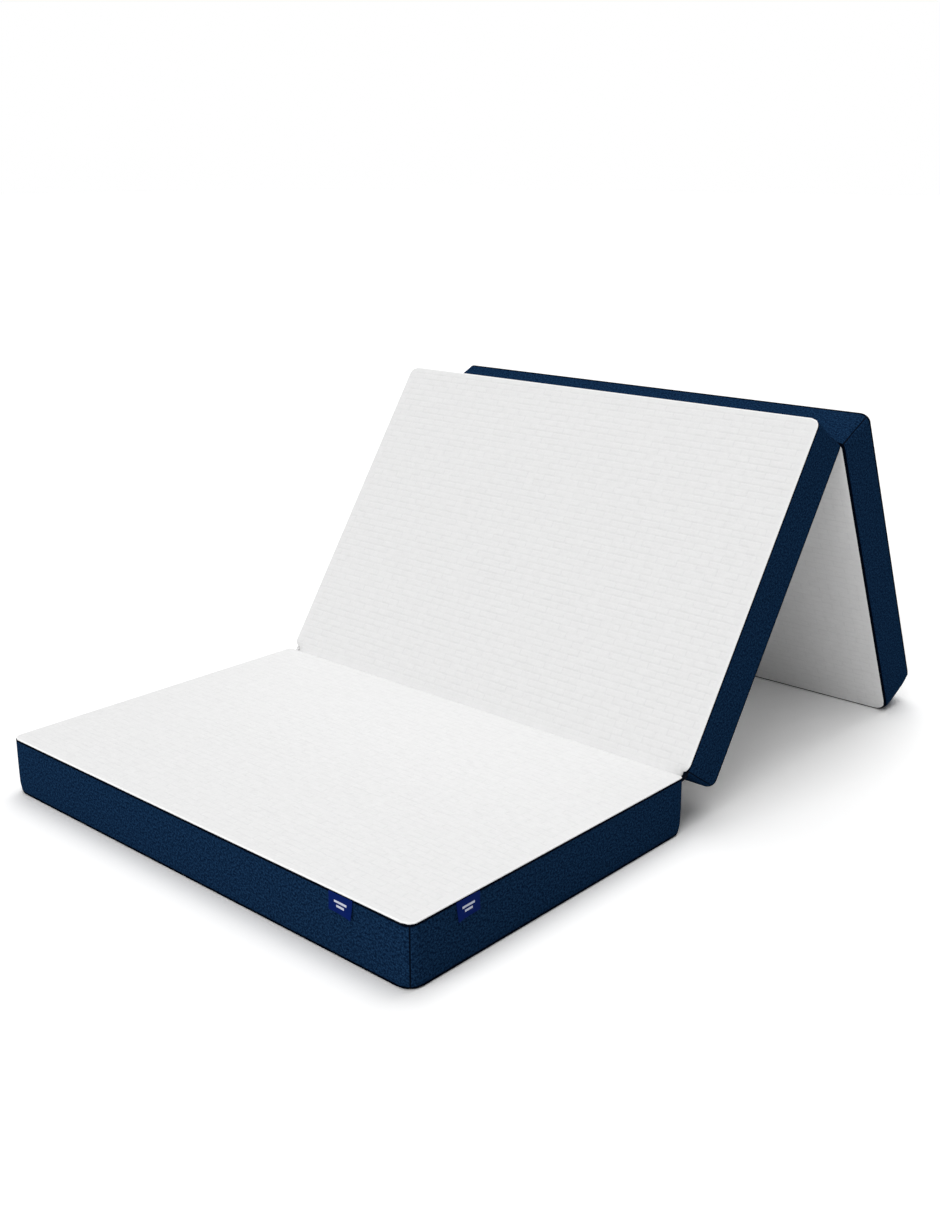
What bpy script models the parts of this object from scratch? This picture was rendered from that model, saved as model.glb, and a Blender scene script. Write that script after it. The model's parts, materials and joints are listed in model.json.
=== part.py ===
"""Three-section folding mattress, standing as a floor seat with a backrest.

Every section is a boxed cushion: two foam layers inside a zipped cover of knitted top and
bottom panels and a woven border. Sections are built in their own frame, x across the width,
y along the length and z up from the bottom face, and hang from two fold axes.
Metres, +Z up.
"""

from math import asin, atan2, cos, hypot, pi, radians, sin

import bmesh
import bpy

# The mattress
section_width = 0.980
fold_pitch = 0.660  # from fold to fold, laid flat
seam_height = 0.102  # bottom face to the seam between border and top panel
corner_radius = 0.017
bottom_edge_radius = 0.004
top_roll_width = 0.006
top_roll_rise = 0.003
top_crown = 0.003
crown_run = 0.240  # how far in from the roll the crown is still rising
backrest_angle = radians(56.0)

# The folds
fold_setback = 0.0015  # end face to fold axis
fold_lift = 0.0003  # faces that fold together stay this far from the axis
tape_sides = 12

# The cover and the foam
border_thickness = 0.002
top_panel_thickness = 0.003
bottom_panel_thickness = 0.002
comfort_foam_depth = 0.040
fit_gap = 0.0003
border_wrap = radians(45.0)  # how far the border turns under the bottom edge

# The zip on the left side, counted outwards from the border's face
zip_tape_thickness = 0.0008
zip_tape_sink = 0.0008
zip_tape_reach = 0.0075  # middle of the chain to the tape's sewn edge
chain_half_width = 0.0025
chain_proud = 0.0008
slider_length = 0.011
slider_half_width = 0.0045
slider_plate = 0.0015
slider_skirt = 0.0005  # how far its sides reach in beside the chain
lug_height = 0.0022
lug_thickness = 0.001
pull_pin_radius = 0.0009
pull_neck_half_width = 0.0019
pull_half_width = 0.0035
pull_thickness = 0.001
pull_length = 0.026  # from its pin
slider_stop_margin = 0.004  # from the corner's curve to the slider at its stop
slider_flat_share = 0.5  # of its length, at full lug height
lug_end_share = 0.25  # of the lug's height, at the slider's ends
pin_round_shares = (0.9, 0.77, 0.63, 0.5)  # of half a turn, round the pull's pin

# The side tags
tag_width = 0.0485
tag_drop = 0.0295
tag_thickness = 0.0008
tag_lift = 0.0012  # how far the free edge stands off
front_tag_inset = 0.1336  # from the right side to its middle
side_tag_inset = 0.116  # from the front end to its middle

sharp_angle = radians(40.0)  # edges turned more than this are shaded sharp
corner_steps = 4
roll_steps = 3
crown_shares = (0.12, 0.35, 0.65, 1.0)  # of the crown's run
tag_drop_shares = (0.0, 0.35, 0.7, 1.0)

section_length = fold_pitch - 2 * fold_setback
panel_level = seam_height + top_roll_rise
zip_level = seam_height / 2


def clear_scene():
    for thing in list(bpy.data.objects):
        bpy.data.objects.remove(thing, do_unlink=True)


def material(name, colour, roughness, metallic=0.0):
    made = bpy.data.materials.new(name)
    made.use_nodes = True
    shader = made.node_tree.nodes["Principled BSDF"]
    shader.inputs["Base Color"].default_value = (*colour, 1.0)
    shader.inputs["Roughness"].default_value = roughness
    shader.inputs["Metallic"].default_value = metallic
    made.diffuse_color = (*colour, 1.0)
    return made


def loft(name, rings, holder, offset, finish):
    """A closed solid through rings of points, capped at both ends."""
    bm = bmesh.new()
    loops = [[bm.verts.new(point) for point in ring] for ring in rings]
    for near, far in zip(loops, loops[1:]):
        for k in range(len(near)):
            after = (k + 1) % len(near)
            bm.faces.new((near[k], near[after], far[after], far[k]))
    bm.faces.new(list(reversed(loops[0])))
    bm.faces.new(loops[-1])
    bmesh.ops.recalc_face_normals(bm, faces=bm.faces)
    mesh = bpy.data.meshes.new(name)
    bm.to_mesh(mesh)
    bm.free()
    mesh.shade_smooth()
    mesh.set_sharp_from_angle(angle=sharp_angle)
    mesh.materials.append(finish)
    made = bpy.data.objects.new(name, mesh)
    bpy.context.scene.collection.objects.link(made)
    made.parent = holder
    made.location = offset
    return made


def axis_empty(name, holder, place, turn):
    made = bpy.data.objects.new(name, None)
    bpy.context.scene.collection.objects.link(made)
    made.parent = holder
    made.location = place
    made.rotation_euler = (turn, 0.0, 0.0)
    return made


# Plan of a section

def plan_point(angle, side, inset):
    """A point of the rounded corner beside `side`, at `angle`, drawn in by `inset`."""
    way_x = 1 if cos(side) > 0 else -1
    way_y = 1 if sin(side) > 0 else -1
    radius = max(corner_radius - inset, corner_radius / 2)
    reach_x = section_width / 2 - inset - radius
    reach_y = section_length / 2 - inset - radius
    return (
        way_x * reach_x + radius * cos(angle),
        section_length / 2 + way_y * reach_y + radius * sin(angle),
    )


def plan_ring(inset, height):
    """The section's whole outline at one height, drawn in by `inset`."""
    ring = []
    for quarter in range(4):
        side = pi / 4 + quarter * pi / 2
        for step in range(corner_steps + 1):
            angle = side - pi / 4 + step / corner_steps * pi / 2
            ring.append((*plan_point(angle, side, inset), height))
    return ring


def slab(name, levels, holder, offset, finish):
    """A solid stacked from (inset, height) levels of the section's outline."""
    rings = [plan_ring(inset, height) for inset, height in levels]
    return loft(name, rings, holder, offset, finish)


def wall(name, facing, profile, holder, offset, finish):
    """A strip of the border, corner seam to corner seam, with a closed (inset, height) profile."""
    half_seam = fit_gap / 2 / (corner_radius - border_thickness)
    rings = []
    for turn in (-1, 1):
        corner = facing + turn * pi / 4
        first, last = sorted((facing, corner))
        if turn < 0:
            first += half_seam
        else:
            last -= half_seam
        for step in range(corner_steps // 2 + 1):
            angle = first + step / (corner_steps // 2) * (last - first)
            rings.append([(*plan_point(angle, corner, inset), height) for inset, height in profile])
    return loft(name, rings, holder, offset, finish)


# Edge shapes, as (inset, height) points

def bottom_edge(first, last, depth=0.0):
    """The rounded bottom edge between two angles from the upright, `depth` inside its surface."""
    radius = max(bottom_edge_radius - depth, fit_gap)
    points = []
    for step in range(roll_steps):
        angle = first + step / (roll_steps - 1) * (last - first)
        inset = bottom_edge_radius - radius * cos(angle)
        points.append((inset, bottom_edge_radius - radius * sin(angle)))
    return points


def top_edge():
    """The rolled edge of the top panel, from its seam inwards."""
    low = seam_height + fit_gap
    points = []
    for step in range(roll_steps + 1):
        angle = step / roll_steps * pi / 2
        points.append((top_roll_width * (1 - cos(angle)), low + (panel_level - low) * sin(angle)))
    return points


def crown(depth=0.0):
    """The crown from the roll inwards: a slope that eases out at `crown_run`."""
    points = []
    for share in crown_shares:
        rise = top_crown * (1 - (1 - share) ** 2)
        points.append((top_roll_width + share * crown_run, panel_level - depth + rise))
    return points


# The pieces of one section

def make_foam(name, holder, offset, finishes):
    skin = border_thickness + fit_gap
    floor = bottom_panel_thickness + fit_gap
    roof = top_panel_thickness + fit_gap
    split = panel_level - roof - comfort_foam_depth
    corner = max(bottom_edge_radius - fit_gap, skin + fit_gap)
    slab(
        f"{name}_support_foam",
        [(corner + fit_gap, floor), (skin, bottom_edge_radius), (skin, split)],
        holder, offset, finishes["support foam"],
    )
    slab(
        f"{name}_comfort_foam",
        [(skin, split + fit_gap), (skin, seam_height - roof), (top_roll_width, panel_level - roof)]
        + crown(roof),
        holder, offset, finishes["comfort foam"],
    )


def make_panels(name, holder, offset, finishes):
    outer = top_edge() + crown()
    inner = crown(top_panel_thickness)[::-1] + [
        (top_roll_width, panel_level - top_panel_thickness),
        (border_thickness, seam_height + fit_gap),
    ]
    slab(f"{name}_top_panel", inner + outer, holder, offset, finishes["knit"])
    seam = border_wrap + fit_gap / bottom_edge_radius * 2
    under = bottom_edge(seam, pi / 2)[::-1]
    over = bottom_edge(seam, pi / 2, bottom_panel_thickness)
    slab(f"{name}_bottom_panel", under + over, holder, offset, finishes["knit"])


def strip_profile(low, high, turned_under):
    """A border strip from one height to another, its foot turned under the bottom edge."""
    if not turned_under:
        return [(0.0, low), (0.0, high), (border_thickness, high), (border_thickness, low)]
    outer = bottom_edge(border_wrap, 0.0)
    inner = bottom_edge(0.0, border_wrap, border_thickness)
    return outer + [(0.0, high), (border_thickness, high)] + inner


def make_border(name, holder, offset, finishes):
    whole = strip_profile(bottom_edge_radius, seam_height, True)
    for side, facing in (("front", -pi / 2), ("right", 0.0), ("rear", pi / 2)):
        wall(f"{name}_{side}_border", facing, whole, holder, offset, finishes["border"])
    lower = strip_profile(bottom_edge_radius, zip_level - zip_tape_reach - fit_gap, True)
    upper = strip_profile(zip_level + zip_tape_reach + fit_gap, seam_height, False)
    wall(f"{name}_left_lower_border", pi, lower, holder, offset, finishes["border"])
    wall(f"{name}_left_upper_border", pi, upper, holder, offset, finishes["border"])


def make_zip(name, holder, offset, finishes, at_far_end):
    near = chain_half_width + fit_gap
    deep = zip_tape_sink + zip_tape_thickness
    for word, way in (("lower", -1), ("upper", 1)):
        edges = (zip_level + way * near, zip_level + way * zip_tape_reach)
        tape = [(zip_tape_sink, edges[0]), (zip_tape_sink, edges[1]), (deep, edges[1]), (deep, edges[0])]
        wall(f"{name}_zip_{word}_tape", pi, tape, holder, offset, finishes["zip tape"])
    low, high = zip_level - chain_half_width, zip_level + chain_half_width
    chain = [(-chain_proud, low), (-chain_proud, high), (deep, high), (deep, low)]
    wall(f"{name}_zip_chain", pi, chain, holder, offset, finishes["zip chain"])
    make_slider(name, holder, offset, finishes, at_far_end)


def slider_section(lug):
    """The slider across the chain, as (outward, along the width of the chain) points."""
    inner = chain_half_width + fit_gap
    under = chain_proud + fit_gap
    top = under + slider_plate
    lug_inner = pull_neck_half_width + fit_gap
    lug_outer = lug_inner + lug_thickness
    half = [
        (top, lug_inner),
        (top + lug, lug_inner),
        (top + lug, lug_outer),
        (top, lug_outer),
        (top, slider_half_width),
        (-slider_skirt, slider_half_width),
        (-slider_skirt, inner),
        (under, inner),
    ]
    return half + [(out, -up) for out, up in reversed(half)]


def make_slider(name, holder, offset, finishes, at_far_end):
    reach = corner_radius + slider_stop_margin + slider_length / 2
    along = section_length - reach if at_far_end else reach
    face = -section_width / 2
    place = (offset[0] + face, offset[1] + along, offset[2] + zip_level)
    half = slider_length / 2
    flat = half * slider_flat_share
    low_lug = lug_height * lug_end_share
    rings = []
    for y, lug in ((-half, low_lug), (-flat, lug_height), (flat, lug_height), (half, low_lug)):
        rings.append([(-out, y, z) for out, z in slider_section(lug)])
    loft(f"{name}_zip_slider", rings, holder, place, finishes["zip slider"])
    pin_out = chain_proud + fit_gap + slider_plate + fit_gap + pull_pin_radius
    make_pull(name, holder, (place[0] - pin_out, place[1], place[2]), finishes, 1 if at_far_end else -1)


def make_pull(name, holder, place, finishes, way):
    """The pull, lying along the chain towards the end that the slider stops at."""
    neck_end = slider_length / 2 + fit_gap
    shoulder = neck_end + pull_half_width
    stations = []
    for share in pin_round_shares:
        across, high = pull_pin_radius * cos(share * pi), pull_pin_radius * sin(share * pi)
        stations.append((across, pull_neck_half_width, high))
    stations += [
        (pull_pin_radius, pull_neck_half_width, pull_thickness / 2),
        (neck_end, pull_neck_half_width, pull_thickness / 2),
        (shoulder, pull_half_width, pull_thickness / 2),
        (pull_length - pull_half_width, pull_half_width, pull_thickness / 2),
        (pull_length, pull_half_width / 2, pull_thickness / 2),
    ]
    rings = []
    for y, wide, thick in stations:
        corners = ((-thick, -wide), (thick, -wide), (thick, wide), (-thick, wide))
        rings.append([(x, way * y, z) for x, z in corners])
    loft(f"{name}_zip_pull", rings, holder, place, finishes["zip slider"])


def make_section(name, holder, offset, finishes, at_far_end):
    make_foam(name, holder, offset, finishes)
    make_panels(name, holder, offset, finishes)
    make_border(name, holder, offset, finishes)
    make_zip(name, holder, offset, finishes, at_far_end)


# What joins and marks the sections

def clear_radius(outline, setback, lift):
    """The largest roll that a fold axis can hold beside an edge with this (inset, height) outline."""
    spots = [(setback + inset, lift - height) for inset, height in outline]
    nearest = hypot(*spots[0])
    for (x0, y0), (x1, y1) in zip(spots, spots[1:]):
        along = (x1 - x0, y1 - y0)
        length = hypot(*along)
        share = min(max(-(x0 * along[0] + y0 * along[1]) / length**2, 0.0), 1.0)
        nearest = min(nearest, hypot(x0 + share * along[0], y0 + share * along[1]))
    return nearest - fit_gap


def make_tape(name, holder, axis, radius, finish):
    """The rolled seam of a hinge tape on its fold axis, between the corners' curves."""
    half = section_width / 2 - corner_radius
    rings = []
    for x in (-half, half):
        ring = []
        for step in range(tape_sides):
            angle = step / tape_sides * 2 * pi
            ring.append((x, radius * cos(angle), radius * sin(angle)))
        rings.append(ring)
    loft(name, rings, holder, (0.0, *axis), finish)


def make_tag(name, holder, place, outward, finish):
    """A folded ribbon tag hung from the top seam, its free edge a little off the border."""
    along_x, along_y = -outward[1], outward[0]
    half = tag_width / 2
    rings = []
    for share in tag_drop_shares:
        near = fit_gap + tag_lift * share**2
        far = near + tag_thickness
        ring = []
        for across, out in ((-half, near), (half, near), (half, far), (-half, far)):
            x = across * along_x + out * outward[0]
            ring.append((x, across * along_y + out * outward[1], -share * tag_drop))
        rings.append(ring)
    loft(name, rings, holder, place, finish)


def leg_slope(fold_height):
    """How steeply the rear section stands, so that its inner bottom edge just meets the floor."""
    along = fold_setback + section_length - bottom_edge_radius
    beside = fold_lift + bottom_edge_radius
    return asin((fold_height - bottom_edge_radius) / hypot(along, beside)) + atan2(beside, along)


def footprint_depth(rear_axis_y, rear_axis_z, slope):
    """From the front face to the furthest point of the leg."""
    y = rear_axis_y + (fold_setback + section_length) * cos(slope)
    return y + (fold_lift + seam_height) * sin(slope)


def main():
    clear_scene()
    finishes = {
        "knit": material("white knit", (0.80, 0.80, 0.79), 0.85),
        "border": material("navy weave", (0.012, 0.030, 0.075), 0.9),
        "support foam": material("support foam", (0.78, 0.76, 0.68), 0.95),
        "comfort foam": material("comfort foam", (0.55, 0.68, 0.78), 0.95),
        "zip tape": material("zip tape", (0.010, 0.020, 0.050), 0.8),
        "zip chain": material("zip chain", (0.012, 0.024, 0.055), 0.45),
        "zip slider": material("zip slider", (0.45, 0.46, 0.48), 0.35, 1.0),
        "hinge tape": material("hinge tape", (0.010, 0.022, 0.055), 0.85),
        "tag": material("satin tag", (0.010, 0.045, 0.32), 0.4),
    }
    front_axis = (fold_setback + section_length, panel_level + fold_lift)
    run = fold_pitch
    rise = panel_level + 2 * fold_lift
    rear_y = front_axis[0] + run * cos(backrest_angle) + rise * sin(backrest_angle)
    rear_z = front_axis[1] + run * sin(backrest_angle) - rise * cos(backrest_angle)
    slope = leg_slope(rear_z)
    middle_of_depth = footprint_depth(rear_y, rear_z, slope) / 2

    front = axis_empty("front_section", None, (0.0, -middle_of_depth, 0.0), 0.0)
    front_fold = axis_empty("front_fold", front, (0.0, *front_axis), backrest_angle)
    rear_axis = (run, -rise)
    rear_fold = axis_empty("rear_fold", front_fold, (0.0, *rear_axis), -backrest_angle - slope)

    make_section("front", front, (0.0, 0.0, 0.0), finishes, True)
    make_section("middle", front_fold, (0.0, fold_setback, -front_axis[1]), finishes, False)
    make_section("rear", rear_fold, (0.0, fold_setback, fold_lift), finishes, True)

    top_outline = [(0.0, seam_height)] + top_edge() + crown()[:1]
    front_roll = clear_radius(top_outline, fold_setback, front_axis[1])
    make_tape("front_hinge_tape", front, front_axis, front_roll, finishes["knit"])
    bottom_outline = bottom_edge(0.0, border_wrap) + bottom_edge(border_wrap, pi / 2)[1:]
    rear_roll = clear_radius(bottom_outline, fold_setback, -fold_lift)
    make_tape("rear_hinge_tape", front_fold, rear_axis, rear_roll, finishes["hinge tape"])

    top = seam_height - fit_gap
    make_tag("front_tag", front, (section_width / 2 - front_tag_inset, 0.0, top), (0, -1), finishes["tag"])
    make_tag("side_tag", front, (section_width / 2, side_tag_inset, top), (1, 0), finishes["tag"])

    print("front fold axis", 0.0, front_axis[0] - middle_of_depth, front_axis[1])
    print("rear fold axis", 0.0, rear_y - middle_of_depth, rear_z)
    print("leg slope in degrees", slope / pi * 180)


main()
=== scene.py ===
import json
from math import cos, hypot, pi, radians, sin, sqrt

import bpy
import numpy as np
from mathutils import Matrix, Vector


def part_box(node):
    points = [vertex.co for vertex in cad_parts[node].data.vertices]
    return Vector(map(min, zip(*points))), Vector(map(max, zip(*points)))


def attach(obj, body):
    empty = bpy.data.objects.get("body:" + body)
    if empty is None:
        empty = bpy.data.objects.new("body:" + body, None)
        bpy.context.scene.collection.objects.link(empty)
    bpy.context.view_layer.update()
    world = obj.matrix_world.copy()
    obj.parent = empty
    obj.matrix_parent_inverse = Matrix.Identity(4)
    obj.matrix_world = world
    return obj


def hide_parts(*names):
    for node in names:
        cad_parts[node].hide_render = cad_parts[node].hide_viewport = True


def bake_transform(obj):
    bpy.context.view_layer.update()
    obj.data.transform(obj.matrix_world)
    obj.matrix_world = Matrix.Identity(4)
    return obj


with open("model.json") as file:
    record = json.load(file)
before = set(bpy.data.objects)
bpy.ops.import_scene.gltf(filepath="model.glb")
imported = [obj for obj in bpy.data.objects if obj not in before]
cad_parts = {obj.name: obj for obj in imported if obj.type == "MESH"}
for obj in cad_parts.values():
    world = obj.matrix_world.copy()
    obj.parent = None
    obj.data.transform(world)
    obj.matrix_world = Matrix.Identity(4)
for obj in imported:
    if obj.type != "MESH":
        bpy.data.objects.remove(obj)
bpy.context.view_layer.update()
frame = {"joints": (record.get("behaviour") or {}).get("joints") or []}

sections = ("front", "middle", "rear")
joints = {joint["name"]: joint for joint in frame["joints"]}

# Sizes that come from the frame

sideways = Vector((1.0, 0.0, 0.0))
lowFront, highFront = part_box("front_front_border")
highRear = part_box("front_rear_border")[1]
width = 2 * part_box("front_right_border")[1].x
length = highRear.y - lowFront.y
seamLevel = highFront.z  # where the border ends and the top face begins
frontAxis = Vector(joints["front_fold"]["pos_m"])
rearAxis = Vector(joints["rear_fold"]["pos_m"])
setback = frontAxis.y - highRear.y  # end of a section to its fold axis
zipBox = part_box("front_zip_chain")
zipLevel = (zipBox[0].z + zipBox[1].z) / 2


def sectionMatrix(origin, along):
    turned = Matrix((sideways, along, sideways.cross(along))).transposed().to_4x4()
    return Matrix.Translation(origin) @ turned


middleAlong = Vector(joints["middle_zip_slide"]["axis"])
rearAlong = -Vector(joints["rear_zip_slide"]["axis"])
middleUp = sideways.cross(middleAlong)
rearUp = sideways.cross(rearAlong)
foldLift = 0.0003  # the bottom faces of the folded pair stay this far off the axis
places = {
    "front": sectionMatrix(Vector((0.0, lowFront.y, 0.0)), Vector((0.0, 1.0, 0.0))),
    "middle": sectionMatrix(frontAxis + middleAlong * setback - middleUp * frontAxis.z, middleAlong),
    "rear": sectionMatrix(rearAxis + rearAlong * setback + rearUp * foldLift, rearAlong),
}

# Camera, as the photograph was taken

view = {"place": (1.67934, -1.94960, 1.0799), "azimuth": 41.909, "elevation": 17.421,
        "lens": 42.384, "sensor": 36.0}


def addCamera():
    azimuth, elevation = radians(view["azimuth"]), radians(view["elevation"])
    aim = Vector((-sin(azimuth) * cos(elevation), cos(azimuth) * cos(elevation), -sin(elevation)))
    bpy.ops.object.camera_add(location=view["place"], rotation=aim.to_track_quat("-Z", "Y").to_euler())
    camera = bpy.context.object
    camera.data.lens = view["lens"]
    camera.data.sensor_width = view["sensor"]
    camera.data.clip_end = 50.0
    bpy.context.scene.camera = camera


addCamera()
print("camera in place")

# Shader nodes as expressions

operators = {"__add__": "ADD", "__sub__": "SUBTRACT", "__mul__": "MULTIPLY", "__truediv__": "DIVIDE",
             "sine": "SINE", "size": "ABSOLUTE", "part": "FRACT", "floor": "FLOOR",
             "above": "GREATER_THAN", "least": "MINIMUM"}
reflected = {"__radd__": "ADD", "__rsub__": "SUBTRACT", "__rmul__": "MULTIPLY"}


class Value:
    # one output of a node, with the sums that are used on it
    def __init__(self, finish, socket):
        self.finish, self.socket = finish, socket

    def between(self, low, high, first=0.0, last=1.0):
        return self.finish.node("ShaderNodeMapRange", {"interpolation_type": "SMOOTHSTEP"},
                                {0: self, 1: low, 2: high, 3: first, 4: last})


def addOperator(name, operation, swapped):
    # a method of Value that adds one Math node
    def method(first, second=None):
        pair = (second, first) if swapped else (first, second)
        inputs = {k: value for k, value in enumerate(pair) if value is not None}
        return first.finish.node("ShaderNodeMath", {"operation": operation}, inputs)
    setattr(Value, name, method)


for table, swapped in ((operators, False), (reflected, True)):
    for name, operation in table.items():
        addOperator(name, operation, swapped)


class Finish:
    # a material, with the methods that add its nodes
    def __init__(self, name, colour, roughness):
        self.material = bpy.data.materials.new(name)
        self.material.use_nodes = True
        self.tree = self.material.node_tree
        self.shader = self.tree.nodes["Principled BSDF"]
        self.set("Base Color", (*colour, 1.0))
        self.set("Roughness", roughness)
        self.material.diffuse_color = (*colour, 1.0)

    def set(self, socket, value):
        target = self.shader.inputs[socket] if isinstance(socket, str) else socket
        if isinstance(value, Value):
            self.tree.links.new(value.socket, target)
        else:
            target.default_value = value

    def node(self, kind, settings, inputs, output=0):
        made = self.tree.nodes.new(kind)
        for name, value in settings.items():
            setattr(made, name, value)
        for key, value in inputs.items():
            self.set(made.inputs[key], value)
        return Value(self, made.outputs[output])

    def coordinates(self, kind="UV"):
        return self.node("ShaderNodeTexCoord", {}, {}, kind)

    def split(self, vector):
        found = self.node("ShaderNodeSeparateXYZ", {}, {0: vector})
        return [Value(self, found.socket.node.outputs[k]) for k in range(3)]

    def noise(self, vector, scale, detail, rough=0.5):
        inputs = {"Vector": vector, "Scale": scale, "Detail": detail, "Roughness": rough}
        return self.node("ShaderNodeTexNoise", {}, inputs)

    def stretched(self, vector, scale):
        return self.node("ShaderNodeMapping", {}, {"Vector": vector, "Scale": scale})

    def mix(self, share, first, last):
        settings = {"data_type": "RGBA", "blend_type": "MIX"}
        made = self.node("ShaderNodeMix", settings, {0: share}, 2)
        node = made.socket.node
        for key, colour in ((6, first), (7, last)):
            self.set(node.inputs[key], colour if isinstance(colour, Value) else (*colour, 1.0))
        return made

    def attribute(self, name):
        return self.node("ShaderNodeAttribute", {"attribute_name": name}, {}, "Fac")

    def bump(self, height, strength, distance):
        inputs = {"Strength": strength, "Distance": distance, "Height": height}
        self.set("Normal", self.node("ShaderNodeBump", {}, inputs))


# Finishes

# groove is a painted shade for the hollows of the brick pattern, edge a painted highlight for the rolled rim
knit = {"face": (0.850, 0.850, 0.850), "shadedGroove": (0.760, 0.760, 0.765), "edge": (0.965, 0.965, 0.965),
        "stitch": 0.0013, "roughness": 0.9, "uneven": 55.0, "patchy": 210.0, "fuzz": 2600.0,
        "shade": 0.955, "bump": (0.35, 0.00018)}


def makeKnit():
    finish = Finish("white knit", knit["face"], knit["roughness"])
    finish.set("Specular IOR Level", 0.1)
    u, v, _ = finish.split(finish.coordinates())
    shadedGroove = finish.attribute("shadedGroove")
    edge = finish.attribute("edge")
    uneven = finish.noise(finish.coordinates(), knit["uneven"], 3.0)
    patchy = finish.noise(finish.coordinates(), knit["patchy"], 3.0, 0.65)
    shade = uneven.between(0.3, 0.7, 0.0, 0.5) + patchy.between(0.3, 0.7, 0.0, 0.5)
    tone = finish.mix(shade, knit["face"], tuple(knit["shade"] * c for c in knit["face"]))
    # painted shade: the grooves are darkened towards the groove colour, broken up by the patchy noise
    tone = finish.mix(shadedGroove * patchy.between(0.38, 0.60, 0.35, 1.0), tone, knit["shadedGroove"])
    # painted highlight: the rolled rim is lightened towards the edge colour
    finish.set("Base Color", finish.mix(edge, tone, knit["edge"]))
    turns = pi / knit["stitch"]
    wale = (u * turns).sine().size()
    course = (v * turns + (u * (2 * turns)).sine() * 0.6).sine().size()
    fuzz = finish.noise(finish.coordinates(), knit["fuzz"], 2.0)
    finish.bump(wale * course + fuzz * 0.6 + patchy * 7.0, *knit["bump"])
    return finish.material


# seam is painted shade: a contact shadow along the foot, shade under the top seam and in the corner seams
navy = {"face": (0.0048, 0.0200, 0.0560), "dark": (0.0012, 0.0066, 0.0240),
        "light": (0.0140, 0.0480, 0.1150), "seam": (0.0006, 0.0018, 0.0060), "roughness": 0.95,
        "yarn": 0.0011, "flecks": (900.0, 260.0), "heather": 270.0, "bump": (0.5, 0.0003),
        "footShadowBand": 0.0056, "brimShadeBand": 0.0032}


def makeNavy():
    finish = Finish("navy weave", navy["face"], navy["roughness"])
    finish.set("Specular IOR Level", 0.0)
    where = finish.coordinates()
    u, v, _ = finish.split(where)
    warp = (u * (pi / navy["yarn"])).sine().size()
    weft = (v * (pi / navy["yarn"])).sine().size()
    cell = (u / navy["yarn"]).floor() + (v / navy["yarn"]).floor()
    over = (cell * 0.5).part().above(0.25)
    yarns = warp * over + weft * (1 - over)
    fine, coarse = navy["flecks"]
    lengthways = finish.noise(finish.stretched(where, (fine, coarse, 1.0)), 1.0, 2.0, 0.6)
    across = finish.noise(finish.stretched(where, (coarse, fine, 1.0)), 1.0, 2.0, 0.6)
    flecks = lengthways * over + across * (1 - over)
    tone = finish.mix(flecks.between(0.42, 0.66), navy["face"], navy["light"])
    tone = finish.mix(flecks.between(0.50, 0.34), tone, navy["dark"])
    heather = finish.noise(where, navy["heather"], 2.0, 0.6)
    tone = finish.mix(heather.between(0.52, 0.36, 0.0, 0.75), tone, navy["dark"])
    tone = finish.mix(heather.between(0.52, 0.68, 0.0, 0.65), tone, navy["light"])
    # painted contact shadow along the foot of the border
    foot = v.between(navy["footShadowBand"] - 0.001, navy["footShadowBand"] + 0.001, 1.0, 0.0)
    # painted shade along the top of the border, under the top seam
    brim = v.between(seamLevel - navy["brimShadeBand"] - 0.0005, seamLevel - navy["brimShadeBand"] + 0.0005)
    # painted shade in the corner seams, where the edge mask marks the strips' ends
    tone = finish.mix((finish.attribute("edge") + foot + brim).least(1.0), tone, navy["seam"])
    finish.set("Base Color", tone)
    finish.bump(yarns + flecks * 0.5, *navy["bump"])
    return finish.material


def makePlainWeave(name, face, dark, yarn, roughness):
    # narrow woven trim: tapes, cords and threads
    finish = Finish(name, face, roughness)
    finish.set("Specular IOR Level", 0.05)
    where = finish.coordinates("Object")
    u, v, w = finish.split(where)
    ribs = ((u + v + w) * (pi / yarn)).sine().size()
    worn = finish.noise(where, 420.0, 3.0)
    finish.set("Base Color", finish.mix(worn.between(0.35, 0.65), face, dark))
    finish.bump(ribs + worn, 0.4, yarn / 4)
    return finish.material


label = {"face": (0.0014, 0.0125, 0.1150), "stripe": (0.60, 0.64, 0.76), "roughness": 0.6,
         "stripes": ((0.42, 0.27), (0.64, 0.17)), "half": 0.06, "ribs": 260.0}


def makeLabel():
    # satin ribbon with two plain woven stripes where a label carries its text
    finish = Finish("satin label", label["face"], label["roughness"])
    finish.set("Specular IOR Level", 0.02)
    where = finish.coordinates()
    u, v, _ = finish.split(where)
    upper, lower = [(label["half"] - (v - at).size()).above(0.0) * (reach - (u - 0.5).size()).above(0.0)
                    for at, reach in label["stripes"]]
    finish.set("Base Color", finish.mix(upper + lower, label["face"], label["stripe"]))
    ribs = (v * label["ribs"]).sine().size()
    threads = finish.noise(finish.stretched(where, (6.0, 220.0, 1.0)), 1.0, 2.0)
    finish.bump(ribs + threads * 0.6, 0.3, 0.0001)
    return finish.material


def makeFoam(name, face, pore):
    finish = Finish(name, face, 0.95)
    where = finish.coordinates("Object")
    cells = finish.node("ShaderNodeTexVoronoi", {"feature": "DISTANCE_TO_EDGE"},
                        {"Vector": where, "Scale": 700.0})
    uneven = finish.noise(where, 60.0, 3.0)
    finish.set("Base Color", finish.mix(cells.between(0.02, 0.16), pore, face))
    finish.bump(cells.between(0.0, 0.25) + uneven * 0.5, 0.5, 0.0006)
    return finish.material


def makeCoil():
    finish = Finish("zip coil", (0.010, 0.026, 0.075), 0.5)
    finish.set("Specular IOR Level", 0.15)
    worn = finish.noise(finish.coordinates("Object"), 900.0, 2.0)
    finish.set("Roughness", worn.between(0.3, 0.7, 0.42, 0.58))
    finish.bump(worn, 0.15, 0.0001)
    return finish.material


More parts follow.
